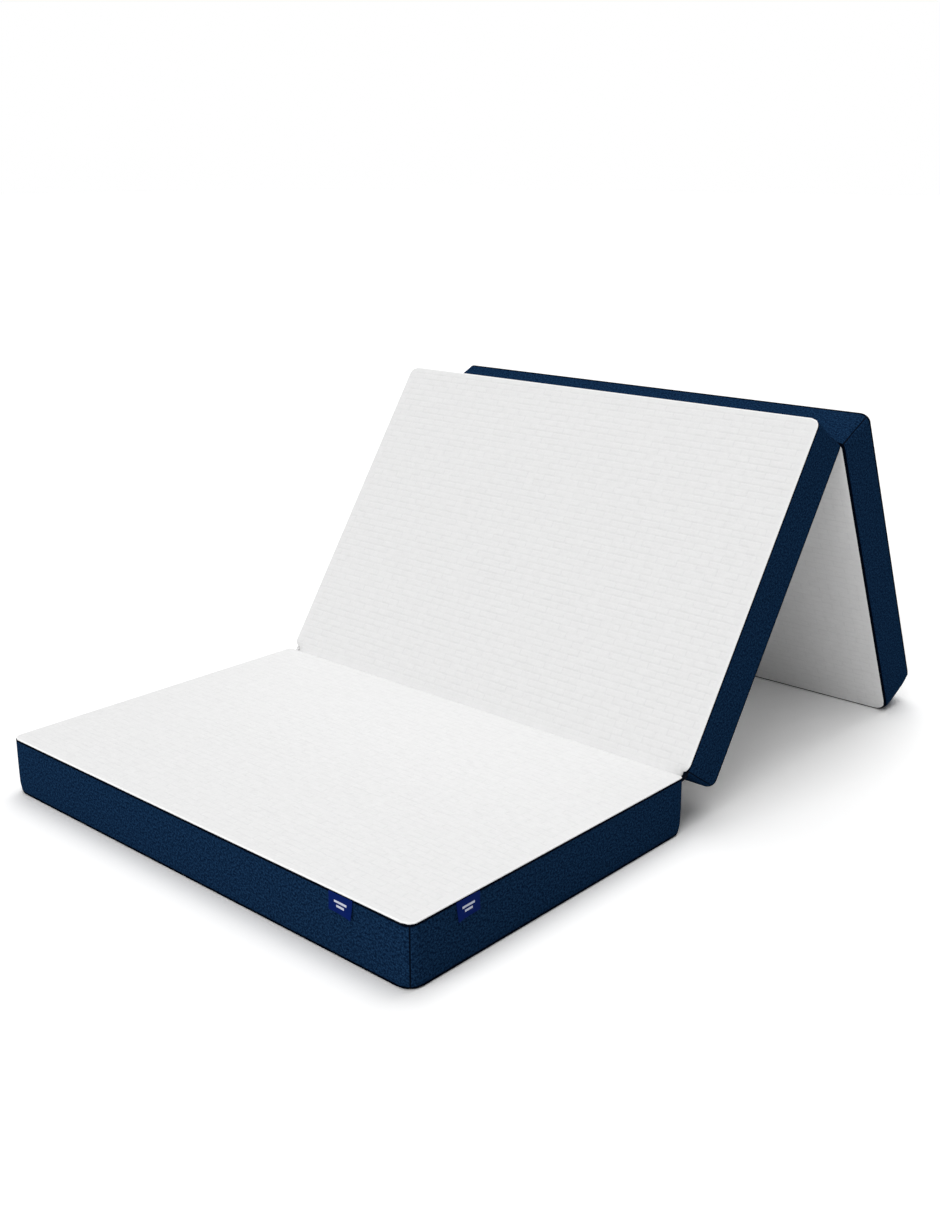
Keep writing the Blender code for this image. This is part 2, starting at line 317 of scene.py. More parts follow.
def makeMetal():
    finish = Finish("satin zinc", (0.45, 0.46, 0.48), 0.35)
    finish.set("Metallic", 1.0)
    where = finish.coordinates("Object")
    brushed = finish.noise(finish.stretched(where, (3000.0, 250.0, 250.0)), 1.0, 3.0)
    finish.set("Roughness", brushed.between(0.3, 0.7, 0.28, 0.44))
    finish.bump(brushed, 0.1, 0.00005)
    return finish.material


finishes = {
    "knit": makeKnit(),
    "navy": makeNavy(),
    # the seam cord is near black: it is the seam's thread and also painted shade for the seam grooves
    "cord": makePlainWeave("seam cord", (0.0012, 0.0032, 0.0090), (0.0005, 0.0014, 0.0045), 0.0008, 0.9),
    "thread": makePlainWeave("navy thread", (0.0100, 0.0240, 0.0620), (0.0050, 0.0120, 0.0330), 0.0004, 0.6),
    "hinge": makePlainWeave("hinge tape", (0.0080, 0.0200, 0.0520), (0.0040, 0.0100, 0.0280), 0.0010, 0.85),
    "zip tape": makePlainWeave("zip tape", (0.0100, 0.0220, 0.0520), (0.0060, 0.0130, 0.0330), 0.0012, 0.8),
    "label": makeLabel(),
    "support foam": makeFoam("firm foam", (0.78, 0.75, 0.66), (0.52, 0.49, 0.41)),
    "comfort foam": makeFoam("soft foam", (0.56, 0.68, 0.77), (0.34, 0.45, 0.55)),
    "coil": makeCoil(),
    "metal": makeMetal(),
}
print("finishes made:", len(finishes))

# Helpers for shaping


def deselectAll():
    if bpy.context.object and bpy.context.object.mode != "OBJECT":
        bpy.ops.object.mode_set(mode="OBJECT")
    bpy.ops.object.select_all(action="DESELECT")


def selectOnly(piece):
    deselectAll()
    piece.select_set(True)
    bpy.context.view_layer.objects.active = piece


def newPiece(name):
    # the shape that was just added, under its own name
    piece = bpy.context.object
    piece.name = piece.data.name = name
    return piece


def addGrid(name, columns, rows):
    # a square primitive from -1 to 1, whose points are then laid on the pattern
    deselectAll()
    bpy.ops.mesh.primitive_grid_add(x_subdivisions=columns, y_subdivisions=rows, size=2.0)
    return newPiece(name)


def readPoints(piece):
    points = np.zeros(len(piece.data.vertices) * 3)
    piece.data.vertices.foreach_get("co", points)
    return points.reshape(-1, 3)


def writePoints(piece, points):
    piece.data.vertices.foreach_set("co", np.asarray(points, np.float32).ravel())
    piece.data.update()


def gridIndex(points, columns, rows):
    across = np.rint((points[:, 0] + 1) / 2 * columns).astype(int)
    along = np.rint((points[:, 1] + 1) / 2 * rows).astype(int)
    return across, along


def writeUv(piece, u, v):
    # one pair for each point, in metres, so that weaves keep their scale
    layer = piece.data.uv_layers.active or piece.data.uv_layers.new(name="UVMap")
    corner = np.zeros(len(piece.data.loops), int)
    piece.data.loops.foreach_get("vertex_index", corner)
    layer.data.foreach_set("uv", np.stack([u[corner], v[corner]], 1).astype(np.float32).ravel())


def writeMask(piece, name, values):
    attribute = piece.data.attributes.get(name) or piece.data.attributes.new(name, "FLOAT", "POINT")
    attribute.data.foreach_set("value", np.asarray(values, np.float32))


def applyAll(piece):
    bpy.context.view_layer.objects.active = piece
    for modifier in list(piece.modifiers):
        bpy.ops.object.modifier_apply(modifier=modifier.name)


def solidify(piece, thickness, offset):
    modifier = piece.modifiers.new("thickness", "SOLIDIFY")
    modifier.thickness = thickness
    modifier.offset = offset
    modifier.use_even_offset = False
    applyAll(piece)


def smooth(piece, angle):
    selectOnly(piece)
    bpy.ops.object.shade_smooth_by_angle(angle=radians(angle))


def paint(piece, finish):
    piece.data.materials.clear()
    piece.data.materials.append(finishes[finish])


def place(piece, section, node, body, name=None):
    # a copy with a mesh of its own, laid in its section, standing for its node
    copied = piece.copy()
    copied.data = piece.data.copy()
    bpy.context.scene.collection.objects.link(copied)
    copied.name = copied.data.name = name or f"{section}_{piece.name}"
    shapeEnds(copied, section)
    copied.data.transform(places[section])
    if node:
        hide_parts(node)
    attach(copied, body)
    return copied


def discard(*pieces):
    for piece in pieces:
        bpy.data.objects.remove(piece, do_unlink=True)


# The plan of a section, with its rounded corners

plan = {"corner": 0.017, "straightX": width / 2 - 0.017, "straightY": length / 2 - 0.017}
facings = {"front": -pi / 2, "right": 0.0, "rear": pi / 2, "left": pi}


def straightRuns(side):
    # half of the wall's own straight run, then half of that of the walls beside it
    runs = plan["straightX"], plan["straightY"]
    return runs if side in ("front", "rear") else runs[::-1]


def wallPlan(side, distance, inset):
    # x and y of a wall's points, by distance along it from its middle, corner curve included
    facing = facings[side]
    half, out = straightRuns(side)
    over = np.maximum(np.abs(distance) - half, 0.0) / plan["corner"]
    turn = facing + np.sign(distance) * over
    along = np.clip(distance, -half, half)
    reach = plan["corner"] - inset
    x = out * cos(facing) - along * sin(facing) + reach * np.cos(turn)
    y = out * sin(facing) + along * cos(facing) + reach * np.sin(turn)
    return x, y + length / 2


def roundCorners(x, y):
    # lays the points of a square plan on the rounded one, ring by ring
    dx = np.maximum(np.abs(x) - plan["straightX"], 0.0) / plan["corner"]
    dy = np.maximum(np.abs(y) - plan["straightY"], 0.0) / plan["corner"]
    reach = np.hypot(dx, dy)
    ring = np.maximum(dx, dy)
    scale = np.where(reach > 0, ring / np.maximum(reach, 1e-9), 1.0)
    nx = np.minimum(np.abs(x), plan["straightX"]) + dx * scale * plan["corner"]
    ny = np.minimum(np.abs(y), plan["straightY"]) + dy * scale * plan["corner"]
    return np.sign(x) * nx, np.sign(y) * ny


# Ends of a section, -1 near and 1 far: lower and top corners that hang free, lower corners that a
# seam draws out, and top edges that dip into the front fold, all along or only by their corners
endShapes = {
    "front": {"free": (-1, 1), "freeTop": (), "drawn": (), "creased": (1,), "allAlong": 1.0},
    "middle": {"free": (), "freeTop": (), "drawn": (1,), "creased": (-1,), "allAlong": 0.0},
    "rear": {"free": (1,), "freeTop": (1,), "drawn": (-1,), "creased": (), "allAlong": 0.0},
    "soften": 0.0105, "softenTop": 0.0065, "softHeight": 0.024, "power": 5.5, "drawnHeight": 0.038,
    "dip": 0.0060, "dipWidth": 0.014, "dipFrom": 0.075, "cornerFrom": 0.445,
}


def creaseShare(x, fromEnd, allAlong):
    nearCorner = np.clip((np.abs(x) - endShapes["cornerFrom"]) / 0.028, 0.0, 1.0) ** 2
    share = allAlong + (1 - allAlong) * nearCorner
    return share * np.clip(1 - fromEnd / endShapes["dipWidth"], 0.0, 1.0) ** 2


def shapeEnds(piece, section):
    points = readPoints(piece)
    x, y, z = points[:, 0], points[:, 1] - length / 2, points[:, 2]
    ends, shape = endShapes[section], endShapes
    overX, overY = np.abs(x) - plan["straightX"], np.abs(y) - plan["straightY"]
    outX, outY = np.maximum(overX, 0.0), np.maximum(overY, 0.0)
    # free corners: points keep their depth below the skin while its corner radius grows
    inset = plan["corner"] - np.hypot(outX, outY) - np.minimum(np.maximum(overX, overY), 0.0)
    low = np.clip(1 - z / shape["softHeight"], 0.0, 1.0) ** 2
    high = np.clip(1 - (seamLevel - z) / shape["softHeight"], 0.0, 1.0) ** 2
    extra = (shape["soften"] * low * np.isin(np.sign(y), ends["free"])
             + shape["softenTop"] * high * np.isin(np.sign(y), ends["freeTop"]))
    wideX, wideY = overX + extra, overY + extra
    reach = np.hypot(wideX, wideY)
    inside = np.maximum(plan["corner"] + extra - inset, 0.0)
    free = (extra > 0) & (wideX > 0) & (wideY > 0) & (reach > inside)
    pull = np.where(free, inside / np.maximum(reach, 1e-9), 1.0)
    # drawn corners: from a quarter circle towards a square
    held = np.clip(1 - z / shape["drawnHeight"], 0.0, 1.0) * np.isin(np.sign(y), ends["drawn"])
    power = 2 + (shape["power"] - 2) * held
    around = np.maximum(np.hypot(outX, outY), 1e-9)
    push = 1 / ((outX / around) ** power + (outY / around) ** power + 1e-12) ** (1 / power)
    drawn = (held > 0) & (outX > 0) & (outY > 0)
    newX = np.where(drawn, plan["straightX"] + outX * push, plan["straightX"] - extra + wideX * pull)
    newY = np.where(drawn, plan["straightY"] + outY * push, plan["straightY"] - extra + wideY * pull)
    moved = free | drawn
    points[:, 0] = np.where(moved, np.sign(x) * newX, x)
    points[:, 1] = np.where(moved, np.sign(y) * newY, y) + length / 2
    crease = creaseShare(x, length / 2 - np.abs(y), ends["allAlong"]) * np.isin(np.sign(y), ends["creased"])
    above = np.clip((z - shape["dipFrom"]) / (seamLevel - shape["dipFrom"]), 0.0, 1.0)
    points[:, 2] -= shape["dip"] * crease * above
    writePoints(piece, points)
    # covers lose their painted edge highlight where the top edge dips into the fold
    if "cover" in piece.name:
        edgeHighlight = np.zeros(len(points), np.float32)
        piece.data.attributes["edge"].data.foreach_get("value", edgeHighlight)
        writeMask(piece, "edge", edgeHighlight * (1 - np.minimum(crease * 4, 1.0)))


def ripple(a, b, seed):
    # a slow uneven wave, between -1 and 1, the same each run
    phase = seed * 1.7
    return (np.sin(a * 31 + 1.3 * np.sin(b * 17 + phase) + phase)
            + np.sin(b * 27 + 1.1 * np.sin(a * 21 - phase) + 2 * phase)) / 2


# White covers, knitted in a brick pattern

brick = {"rows": 52, "halves": 47, "grooveHalf": 0.0014, "shoulder": 0.0036, "depth": 0.00065}
topCover = {
    "roll": ((0.0018, 0.10205), (0.0007, 0.10215), (0.0001, 0.1027), (0.0, 0.1034), (0.0004, 0.1042),
             (0.0014, 0.1047), (0.0029, 0.1050), (0.0050, 0.10515)),
    "crown": 0.0027, "run": 0.240, "thickness": 0.003, "sag": 0.00015,
}
bottomCover = {
    "roll": ((0.0036, 0.0016), (0.0031, 0.0013), (0.0031, 0.0009), (0.0034, 0.00045), (0.0042, 0.0001),
             (0.0054, 0.0)),
    "crown": 0.0, "run": 0.240, "thickness": 0.002, "sag": 0.0,
}


def scatter(a, b):
    # an uneven value from 0 to 1 for each pair of whole numbers
    return (a * a * 31 + b * b * 17 + a * b * 13 + a * 5 + b * 3) % 23 / 22


def latticeLines(span, count, rollInsets):
    # lines across one side: the rolled edge, then the groove, its lips and shoulders for each brick
    pitch = span / count
    lines = []
    for k in range(1, count):
        at = k * pitch
        for step in (-brick["shoulder"], -brick["grooveHalf"], 0.0, brick["grooveHalf"], brick["shoulder"]):
            lines.append((at + step, k if step == 0.0 else 0))
    inner = rollInsets[-1] + 0.0008
    lines = [line for line in lines if inner < line[0] < span - inner]
    low = [(inset, 0) for inset in rollInsets]
    high = [(span - inset, 0) for inset in reversed(rollInsets)]
    return low + lines + high


def makeCover(name, cover, facingDown):
    insets = [inset for inset, _ in cover["roll"]]
    columnLines = latticeLines(width, brick["halves"], insets)
    rowLines = latticeLines(length, brick["rows"], insets)
    columns, rows = len(columnLines) - 1, len(rowLines) - 1
    piece = addGrid(name, columns, rows)
    points = readPoints(piece)
    i, j = gridIndex(points, columns, rows)
    xLine = np.array([at for at, _ in columnLines])
    yLine = np.array([at for at, _ in rowLines])
    x, y = xLine[i] - width / 2, yLine[j] - length / 2
    count = len(insets)
    levels = np.array([level for _, level in cover["roll"]])
    ring = np.minimum(np.minimum(i, columns - i), np.minimum(j, rows - j))
    onRoll = ring < count
    flat = levels[-1]
    z = np.where(onRoll, levels[np.minimum(ring, count - 1)], flat)
    # plan: each ring of the roll has one inset all round
    inset = np.array(insets)[np.minimum(ring, count - 1)]
    limitX, limitY = width / 2 - inset, length / 2 - inset
    x = np.where(onRoll, np.clip(x, -limitX, limitX), x)
    y = np.where(onRoll, np.clip(y, -limitY, limitY), y)
    nx, ny = roundCorners(x, y)
    depthX = np.maximum(width / 2 - np.abs(x) - insets[-1], 0.0)
    depthY = np.maximum(length / 2 - np.abs(y) - insets[-1], 0.0)
    riseX, riseY = [1 - (1 - np.minimum(depth / cover["run"], 1.0)) ** 2 for depth in (depthX, depthY)]
    z = z + cover["crown"] * riseX * riseY
    waves = ripple(nx * 0.9, ny * 0.9, 1.0)
    z = z + cover["sag"] * waves * np.minimum(depthX / 0.03, 1) * np.minimum(depthY / 0.03, 1)
    # grooves: every row's edge, and every other half brick's end
    rowEdge = np.array([k for _, k in rowLines])[j]
    brickEnd = np.array([k for _, k in columnLines])[i]
    row = np.floor((y + length / 2) / (length / brick["rows"])).astype(int)
    joint = (brickEnd > 0) & ((brickEnd + row) % 2 == 0)
    # the knit pulls each stretch of a groove in by its own amount
    stretch = np.floor((x + width / 2) / (width / brick["halves"])).astype(int)
    alongRow = (rowEdge > 0) * (0.30 + 0.70 * scatter(stretch, rowEdge.astype(int)))
    acrossRow = joint * (0.65 + 0.35 * scatter(row, brickEnd.astype(int)))
    shadedGroove = np.maximum(alongRow, acrossRow)
    fade = np.clip((np.minimum(width / 2 - np.abs(x), length / 2 - np.abs(y)) - 0.003) / 0.004, 0.0, 1.0)
    shadedGroove = shadedGroove * fade
    way = 1.0 if facingDown else -1.0
    z = z + way * brick["depth"] * shadedGroove
    writePoints(piece, np.stack([nx, ny + length / 2, z], 1))
    writeUv(piece, nx, ny + length / 2)
    # the groove mask sets the grooves' depth and also their painted shade in the knit
    writeMask(piece, "shadedGroove", shadedGroove)
    # edge mask: the painted highlight on the outer rings of the rolled rim
    writeMask(piece, "edge", np.clip(count - 2.0 - ring, 0.0, 1.0))
    if facingDown:
        piece.data.flip_normals()
    closeUnderside(piece, cover, facingDown)
    smooth(piece, 80.0)
    paint(piece, "knit")
    return piece


underSteps = ((0.004, 0.0), (0.08, 0.35), (0.24, 1.0))  # (inset, share of the way to the deepest level)


def closeUnderside(piece, cover, facingDown):
    # the rim is drawn in under the face and filled, so that the cover is one closed pad
    selectOnly(piece)
    bpy.ops.object.mode_set(mode="EDIT")
    bpy.ops.mesh.select_all(action="SELECT")
    bpy.ops.mesh.region_to_loop()
    drop = cover["thickness"] * (1 if facingDown else -1)
    base = cover["roll"][0][1]
    for inset, share in underSteps:
        bpy.ops.mesh.extrude_edges_move()
        bpy.ops.object.mode_set(mode="OBJECT")
        chosen = np.zeros(len(piece.data.vertices), bool)
        piece.data.vertices.foreach_get("select", chosen)
        points = readPoints(piece)
        rim = points[chosen]
        limitX, limitY = width / 2 - inset, length / 2 - inset
        rim[:, 0] = np.clip(rim[:, 0], -limitX, limitX)
        rim[:, 1] = np.clip(rim[:, 1], length / 2 - limitY, length / 2 + limitY)
        rim[:, 2] = base + share * (cover["roll"][-1][1] + cover["crown"] + drop - base)
        points[chosen] = rim
        writePoints(piece, points)
        bpy.ops.object.mode_set(mode="EDIT")
    bpy.ops.mesh.edge_face_add()
    bpy.ops.mesh.select_all(action="SELECT")
    bpy.ops.mesh.remove_doubles(threshold=0.00002)
    bpy.ops.mesh.normals_make_consistent(inside=False)
    bpy.ops.object.mode_set(mode="OBJECT")


topTemplate = makeCover("top_cover", topCover, False)
bottomTemplate = makeCover("bottom_cover", bottomCover, True)
for section in sections:
    for template, word, fill in ((topTemplate, "top", 0.9), (bottomTemplate, "bottom", 0.7)):
        made = place(template, section, f"{section}_{word}_panel", f"{section}_section")
discard(topTemplate, bottomTemplate)
print("covers knitted")

# Navy border strips

border = {"thickness": 0.0014, "foot": 0.004, "wrap": radians(45.0), "topRoll": 0.0016, "endRoll": 0.0016,
          "column": 0.006, "bulge": 0.0004, "pucker": 0.00012, "gather": 0.011, "fade": 0.006,
          "ends": (0.0001, 0.0004, 0.0009, 0.0016, 0.0026), "inner": 0.004}


def stripProfile(low, high, footed):
    # (inset, height) down to up; the foot turns under, cut edges are rolled in
    points = []
    foot, roll, start = border["foot"], border["topRoll"], low
    if footed:
        for share in (1.0, 0.75, 0.5, 0.25, 0.0):
            angle = border["wrap"] * share
            points.append((foot * (1 - cos(angle)), foot * (1 - sin(angle))))
        start += foot
    else:
        for angle in (80, 60, 40, 20, 0):
            points.append((roll * (1 - cos(radians(angle))), low + roll * (1 - sin(radians(angle)))))
        start += roll
    end = high - roll
    for share in (0.03, 0.07, 0.12, 0.18, 0.26, 0.38, 0.5, 0.62, 0.74, 0.84, 0.92, 1.0):
        points.append((0.0, start + share * (end - start)))
    for angle in (20, 40, 60, 80):
        points.append((roll * (1 - cos(radians(angle))), end + roll * sin(radians(angle))))
    return points


def makeStrip(name, side, profile):
    half = straightRuns(side)[0] + plan["corner"] * pi / 4
    ends = np.array(border["ends"])
    count = round(2 * half / border["column"])
    inner = np.linspace(-half + border["inner"], half - border["inner"], count)
    lines = np.concatenate([-half + ends, inner, half - ends[::-1]])
    columns, rows = len(lines) - 1, len(profile) - 1
    piece = addGrid(name, columns, rows)
    i, j = gridIndex(readPoints(piece), columns, rows)
    distance = lines[i]
    inset = np.array([p[0] for p in profile])[j]
    z = np.array([p[1] for p in profile])[j]
    fromEnd = np.minimum((half - np.abs(distance)) / border["endRoll"], 1.0)
    inset = inset + border["endRoll"] * 0.6 * (1 - np.sqrt(np.maximum(1 - (1 - fromEnd) ** 2, 0.0)))
    top, low = profile[-1][1], profile[0][1]
    height = (z - low) / (top - low)
    inset = inset - border["bulge"] * np.sin(pi * height)
    nearSeam = np.exp(-np.minimum(top - z, z - low) / border["fade"])
    gathers = np.sin(distance * 2 * pi / border["gather"] + 2 * np.sin(distance * 19))
    inset = inset + border["pucker"] * nearSeam * gathers
    x, y = wallPlan(side, distance, inset)
    writePoints(piece, np.stack([x, y, z], 1))
    writeUv(piece, distance, z)
    # edge mask: painted shade in the corner seam at each end of the strip
    writeMask(piece, "edge", np.clip(1.5 * (1 - fromEnd), 0, 1))
    piece.data.flip_normals()
    faceCheck(piece, side)
    solidify(piece, border["thickness"], -1.0)
    smooth(piece, 60.0)
    paint(piece, "navy")
    cut = sum(hypot(b[0] - a[0], b[1] - a[1]) for a, b in zip(profile, profile[1:]))
    return piece, (2 * half, cut)


def faceCheck(piece, side):
    # turns the strip right side out, by the sum of its faces' normals
    normal = Vector((0.0, 0.0, 0.0))
    for polygon in piece.data.polygons:
        normal += polygon.normal
    out = Vector((cos(facings[side]), sin(facings[side]), 0.0))
    if normal.dot(out) < 0:
        piece.data.flip_normals()


zipGap = 0.0078  # from the zip's middle to the strips' edges
brim = seamLevel - 0.0002
whole = stripProfile(0.0, brim, True)
strips = [makeStrip(f"{side}_wall", side, whole) for side in ("front", "right", "rear")]
strips.append(makeStrip("left_lower_wall", "left", stripProfile(0.0, zipLevel - zipGap, True)))
strips.append(makeStrip("left_upper_wall", "left", stripProfile(zipLevel + zipGap, brim, False)))
for section in sections:
    for strip, cut in strips:
        node = f"{section}_{strip.name.replace('_wall', '_border')}"
        made = place(strip, section, node, f"{section}_section")
discard(*[strip for strip, _ in strips])
print("borders sewn")

# Cords and threads in the seams

seams = {"top": (0.0008, 0.1018, 0.00120), "bottom": (0.0024, 0.0012, 0.0012), "corner": 0.0008,
         "cornerInset": 0.0008, "step": 0.012, "turns": 8}


def makeTube(name, path, radius, sides, finish, closed=False):
    # a grid rolled round a path; open ends are drawn in and closed
    path = np.asarray(path, float)
    if closed:
        path = np.vstack([path, path[:1]])
        size = np.ones(len(path))
    else:
        lead, trail = path[1] - path[0], path[-1] - path[-2]
        lead, trail = lead / np.linalg.norm(lead) * radius, trail / np.linalg.norm(trail) * radius
        head = [path[0], path[0] + lead * 0.15, path[0] + lead * 0.8]
        tail = [path[-1] - trail * 0.8, path[-1] - trail * 0.15, path[-1]]
        path = np.vstack([head, path[1:-1], tail])
        size = np.array([0.0, 0.6, 1.0] + [1.0] * (len(path) - 6) + [1.0, 0.6, 0.0])
    tangent = np.gradient(path, axis=0)
    if closed:
        tangent[0] = tangent[-1] = path[1] - path[-2]
    tangent /= np.linalg.norm(tangent, axis=1)[:, None]
    upright = abs(tangent[:, 2]).mean() > 0.7
    across = np.cross(tangent, (1.0, 0.3, 0.0) if upright else (0.0, 0.0, 1.0))
    across /= np.linalg.norm(across, axis=1)[:, None]
    over = np.cross(across, tangent)
    travelled = np.concatenate([[0.0], np.cumsum(np.linalg.norm(np.diff(path, axis=0), axis=1))])
    count = len(path) - 1
    piece = addGrid(name, count, sides)
    i, j = gridIndex(readPoints(piece), count, sides)
    angle = j / sides * 2 * pi
    reach = (radius * size[i])[:, None]
    points = path[i] + reach * (np.cos(angle)[:, None] * across[i] + np.sin(angle)[:, None] * over[i])
    writePoints(piece, points)
    writeUv(piece, travelled[i], angle * radius)
    mergeDoubles(piece, 0.000004)
    smooth(piece, 60.0)
    paint(piece, finish)
    return piece


def mergeDoubles(piece, reach):
    selectOnly(piece)
    bpy.ops.object.mode_set(mode="EDIT")
    bpy.ops.mesh.select_all(action="SELECT")
    bpy.ops.mesh.remove_doubles(threshold=reach)
    bpy.ops.mesh.normals_make_consistent(inside=False)
    bpy.ops.object.mode_set(mode="OBJECT")


def joinPieces(name, pieces):
    deselectAll()
    for piece in pieces:
        piece.select_set(True)
    bpy.context.view_layer.objects.active = pieces[0]
    bpy.ops.object.join()
    pieces[0].name = pieces[0].data.name = name
    return pieces[0]


def outlinePath(inset, level):
    # round the whole section: each side, then the corner after it
    rings = []
    for side in ("right", "rear", "left", "front"):
        half = straightRuns(side)[0]
        straight = np.linspace(-half, half, round(2 * half / seams["step"]), endpoint=False)
        curve = half + np.linspace(0.0, plan["corner"] * pi / 2, seams["turns"], endpoint=False)
        x, y = wallPlan(side, np.concatenate([straight, curve]), inset)
        rings.append(np.stack([x, y, np.full(len(x), level)], 1))
    return np.concatenate(rings)


def cornerPath(turnX, turnY):
    reach = plan["corner"] - seams["cornerInset"]
    path = []
    for inset, level in whole[1:-2]:
        out = (reach - inset) * sqrt(0.5)
        x, y = turnX * (plan["straightX"] + out), turnY * (plan["straightY"] + out)
        path.append((x, length / 2 + y, level))
    return path


# painted shade: the near-black cords darken the seam grooves as well as standing for the thread
topSeam, bottomSeam = [
    makeTube(f"{word}_seam_cord", outlinePath(*seams[word][:2]), seams[word][2], sides, "cord", closed=True)
    for word, sides in (("top", 8), ("bottom", 6))]
corners = [makeTube(f"corner_{k}", cornerPath(*turn), seams["corner"], 6, "cord")
           for k, turn in enumerate(((1, -1), (1, 1), (-1, 1), (-1, -1)))]
cornerSeams = joinPieces("corner_seam_threads", corners)
for section in sections:
    for seam in (topSeam, bottomSeam, cornerSeams):
        place(seam, section, None, f"{section}_section")
discard(topSeam, bottomSeam, cornerSeams)
print("seams corded")

# Foam cores, as two cut blocks

foam = {"corner": 0.0150, "rim": 0.0012, "crown": 0.0026, "underSeam": 0.0034,
        "rings": (0.02, 0.05, 0.09, 0.14, 0.19, 0.24)}


def choose(piece, kind, test):
    # picks faces or edges by a test and opens edit mode on them
    selectOnly(piece)
    data = piece.data
    for group in (data.vertices, data.edges, data.polygons):
        group.foreach_set("select", np.zeros(len(group), bool))
    for item in (data.polygons if kind == "FACE" else data.edges):
        item.select = bool(test(item))
    bpy.context.tool_settings.mesh_select_mode = (False, kind == "EDGE", kind == "FACE")
    bpy.ops.object.mode_set(mode="EDIT")


def edgeEnds(piece, edge):
    return [piece.data.vertices[k].co for k in edge.vertices]


def edgeRise(piece, edge):
    first, last = edgeEnds(piece, edge)
    return abs((first - last).z)


def edgeLevel(piece, edge):
    return sum(end.z for end in edgeEnds(piece, edge)) / 2


def makeFoamBlock(name, node, crowned, finish):
    low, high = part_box(node)
    start = Vector((0.0, lowFront.y, 0.0))
    centre, size = (low + high) / 2 - start, high - low
    top = seamLevel - foam["underSeam"] if crowned else high.z
    centre.z, size.z = (low.z + top) / 2, top - low.z
    deselectAll()
    bpy.ops.mesh.primitive_cube_add(size=1.0, location=centre, scale=size)
    piece = newPiece(name)
    bpy.ops.object.transform_apply(location=True, rotation=True, scale=True)
    choose(piece, "EDGE", lambda edge: edgeRise(piece, edge) > 0.01)
    bpy.ops.mesh.bevel(offset=foam["corner"], segments=6, affect="EDGES")
    choose(piece, "EDGE", lambda edge: abs(edgeLevel(piece, edge) - centre.z) > size.z * 0.49)
    bpy.ops.mesh.bevel(offset=foam["rim"], segments=3, affect="EDGES")
    if crowned:
        choose(piece, "FACE", lambda face: face.normal.z > 0.9 and face.area > 0.05)
        rise, reached = 0.0, foam["rim"]
        for inset in foam["rings"]:
            share = 1 - (1 - inset / foam["rings"][-1]) ** 2
            bpy.ops.mesh.inset(thickness=0.00001)
            wide = (size.x / 2 - inset) / (size.x / 2 - reached)
            long = (size.y / 2 - inset) / (size.y / 2 - reached)
            bpy.ops.transform.resize(value=(wide, long, 1.0), center_override=(0.0, centre.y, 0.0))
            bpy.ops.transform.translate(value=(0.0, 0.0, share * foam["crown"] - rise))
            rise, reached = share * foam["crown"], inset
    bpy.ops.object.mode_set(mode="OBJECT")
    smooth(piece, 30.0)
    paint(piece, finish)
    return piece


supportBlock = makeFoamBlock("support_foam_block", "front_support_foam", False, "support foam")
comfortBlock = makeFoamBlock("comfort_foam_block", "front_comfort_foam", True, "comfort foam")
for section in sections:
    for block, word in ((supportBlock, "support_foam"), (comfortBlock, "comfort_foam")):
        made = place(block, section, f"{section}_{word}", f"{section}_section")
discard(supportBlock, comfortBlock)
print("foam cut")

# The zip on the left side: tapes, coil, topstitching, slider and pull

zipper = {"tapeInner": 0.0002, "tapeOuter": 0.0084, "tapeSink": 0.0008, "tapeThick": 0.0006,
          "pitch": 0.0016, "tooth": (0.00072, 0.0014, 0.0032), "toothShift": 0.00095, "toothTurn": 8.0,
          "thread": 0.00022, "threadOff": 0.0016, "threadOut": 0.00072, "stitch": 0.0026,
          "stitchPitch": 0.0034, "stitchRow": 0.0021, "stitchWide": (0.0005, 0.00055),
          "stitchArch": 0.00012, "toothBevel": 0.00024, "tapeCut": 0.010, "tapeDip": 0.00015,
          "dipEvery": 0.009, "column": 0.006, "tapeEnd": 0.001, "threadEnd": 0.003}
leftHalf = plan["straightY"] + plan["corner"] * pi / 4


def layAlong(piece, sink=0.0):
    # from straight, as distance, outwards and height, to the left side's curve
    points = readPoints(piece)
    x, y = wallPlan("left", points[:, 0], sink - points[:, 1])
    writePoints(piece, np.stack([x, y, points[:, 2] + zipLevel], 1))
    mergeDoubles(piece, 0.000001)


def makeZipTape(name, way):
    edges = np.linspace(zipper["tapeInner"], zipper["tapeOuter"], 6) * way
    count = round(2 * leftHalf / zipper["column"])
    piece = addGrid(name, count, len(edges) - 1)
    i, j = gridIndex(readPoints(piece), count, len(edges) - 1)
    distance = np.linspace(-leftHalf + zipper["tapeEnd"], leftHalf - zipper["tapeEnd"], count + 1)[i]
    height = edges[j]
    waves = np.sin(distance * 2 * pi / zipper["dipEvery"])
    dip = zipper["tapeDip"] * waves * np.abs(height) / zipper["tapeOuter"]
    x, y = wallPlan("left", distance, zipper["tapeSink"] - dip)
    writePoints(piece, np.stack([x, y, zipLevel + height], 1))
    writeUv(piece, distance, height)
    faceCheck(piece, "left")
    solidify(piece, zipper["tapeThick"], -1.0)
    smooth(piece, 50.0)
    paint(piece, "zip tape")
    return piece


def repeatAlong(piece, pitch, count, first):
    modifier = piece.modifiers.new("repeat", "ARRAY")
    modifier.use_relative_offset = False
    modifier.use_constant_offset = True
    modifier.constant_offset_displace = (pitch, 0.0, 0.0)
    modifier.count = count
    applyAll(piece)
    points = readPoints(piece)
    points[:, 0] += first
    writePoints(piece, points)


